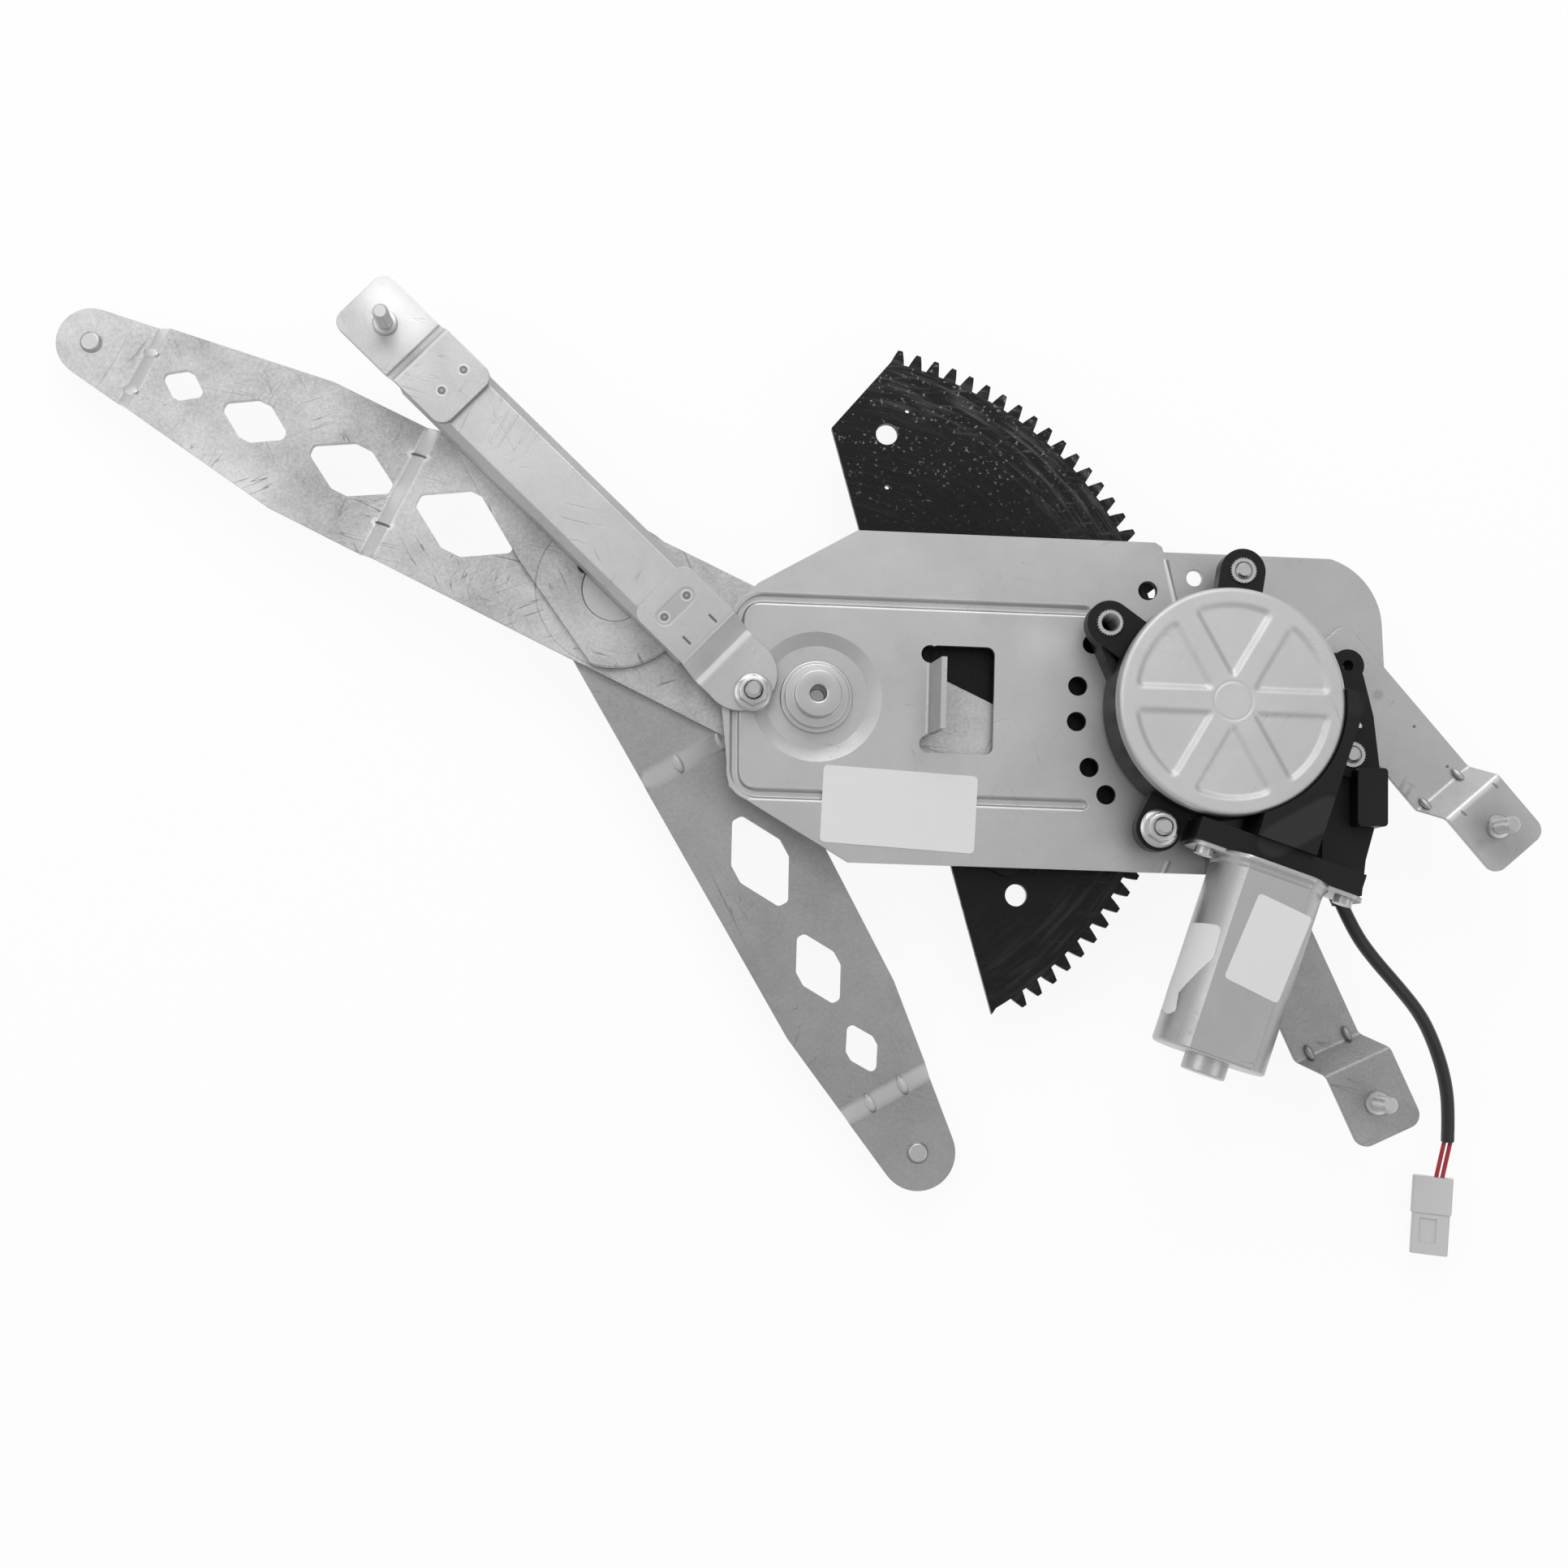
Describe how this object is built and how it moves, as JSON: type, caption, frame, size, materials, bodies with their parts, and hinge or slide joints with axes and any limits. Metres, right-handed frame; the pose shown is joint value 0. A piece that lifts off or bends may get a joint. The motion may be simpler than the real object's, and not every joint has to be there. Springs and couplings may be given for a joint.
{
  "type": "window regulator",
  "caption": "Double-arm window regulator with a worm gear motor that swings a toothed lift arm and a crossed equalizer arm to raise and lower a door glass.",
  "frame": {"origin": "main pivot axis at the base plate's top face, in the bore of the pivot pin", "axes": "+Z along the pivots, away from the door glass; +X along the base plate to the motor"},
  "size_m": [0.5543, 0.3461, 0.0652],
  "materials": {
    "galvanised_plate": "satin",
    "galvanised_arm": "satin",
    "greased_gear": "greasy",
    "turned_steel": "bright",
    "black_plastic": "matt",
    "cover_steel": "satin",
    "can_steel": "satin",
    "bronze": "satin",
    "wheel_plastic": "satin",
    "roller_plastic": "satin",
    "core_steel": "satin",
    "magnet_ferrite": "matt",
    "copper_bars": "satin",
    "carbon": "matt",
    "lead_black": "satin",
    "wire_red": "gloss",
    "plug_white": "satin"
  },
  "bodies": {
    "frame": {"base_plate": "galvanised_plate", "motor_plate": "galvanised_plate", "upper_leg": "galvanised_plate", "lower_leg": "galvanised_plate", "equalizer_channel": "galvanised_arm", "channel_upper_bracket": "galvanised_arm", "channel_lower_bracket": "galvanised_arm", "mounting_studs": "turned_steel", "bracket_stud": "turned_steel", "bracket_nut": "turned_steel", "main_pivot_pin": "turned_steel", "pivot_washer": "turned_steel", "gear_housing": "black_plastic", "gear_cover": "cover_steel", "motor_can": "can_steel", "can_bearing": "bronze", "flange_screws": "turned_steel", "ear_sleeves": "turned_steel", "motor_screws": "turned_steel", "motor_stud": "turned_steel", "motor_nut": "turned_steel", "field_magnets": "magnet_ferrite", "brush_holder": "wheel_plastic", "brushes": "carbon", "output_bush": "bronze", "worm_bush": "bronze", "lead_gland": "lead_black", "lead_sheath": "lead_black", "lead_wires": "wire_red", "plug_housing": "plug_white"},
    "lift": {"lift_arm": "galvanised_arm", "sector_gear": "greased_gear", "lift_bush": "bronze", "lift_tip_pin": "turned_steel"},
    "equalizer": {"equalizer_arm": "galvanised_arm", "equalizer_link": "galvanised_arm", "cross_pivot": "turned_steel", "equalizer_tip_pin": "turned_steel", "channel_roller_pin": "turned_steel"},
    "lift_roller": {"lift_roller": "roller_plastic"},
    "equalizer_roller": {"equalizer_roller": "roller_plastic"},
    "channel_roller": {"channel_roller": "roller_plastic"},
    "output": {"worm_wheel": "wheel_plastic", "output_shaft": "turned_steel", "pinion": "turned_steel"},
    "armature": {"armature_core": "core_steel", "armature_shaft": "turned_steel", "commutator": "copper_bars"}
  },
  "joints": [
    {"name": "lift_pivot", "type": "hinge", "parent": "frame", "child": "lift", "pos_m": [0, 0, -0.006], "axis": [0, 0, 1], "range_deg": [-54, 34]},
    {"name": "crossing_pivot", "type": "hinge", "parent": "lift", "child": "equalizer", "pos_m": [-0.07525, 0.03742, -0.006], "axis": [0, 0, 1], "range_deg": [-68, 108]},
    {"name": "output_spin", "type": "hinge", "parent": "frame", "child": "output", "pos_m": [0.14625, 0, 0], "axis": [0, 0, 1], "range_deg": [-408, 648]},
    {"name": "lift_roller_spin", "type": "hinge", "parent": "lift", "child": "lift_roller", "pos_m": [-0.27404, 0.12547, -0.024], "axis": [0, 0, 1], "continuous": true},
    {"name": "equalizer_roller_spin", "type": "hinge", "parent": "equalizer", "child": "equalizer_roller", "pos_m": [0.04316, -0.16522, -0.024], "axis": [0, 0, 1], "continuous": true},
    {"name": "channel_roller_spin", "type": "hinge", "parent": "equalizer", "child": "channel_roller", "pos_m": [-0.13178, 0.09955, 0.006], "axis": [0, 0, 1], "continuous": true},
    {"name": "armature_spin", "type": "hinge", "parent": "frame", "child": "armature", "pos_m": [0.16343, -0.05803, 0.0175], "axis": [-0.3057, -0.9521, 0], "continuous": true}
  ],
  "couplings": [
    {"joint": "crossing_pivot", "follows": "lift_pivot", "ratio": -2},
    {"joint": "output_spin", "follows": "lift_pivot", "ratio": -12}
  ]
}
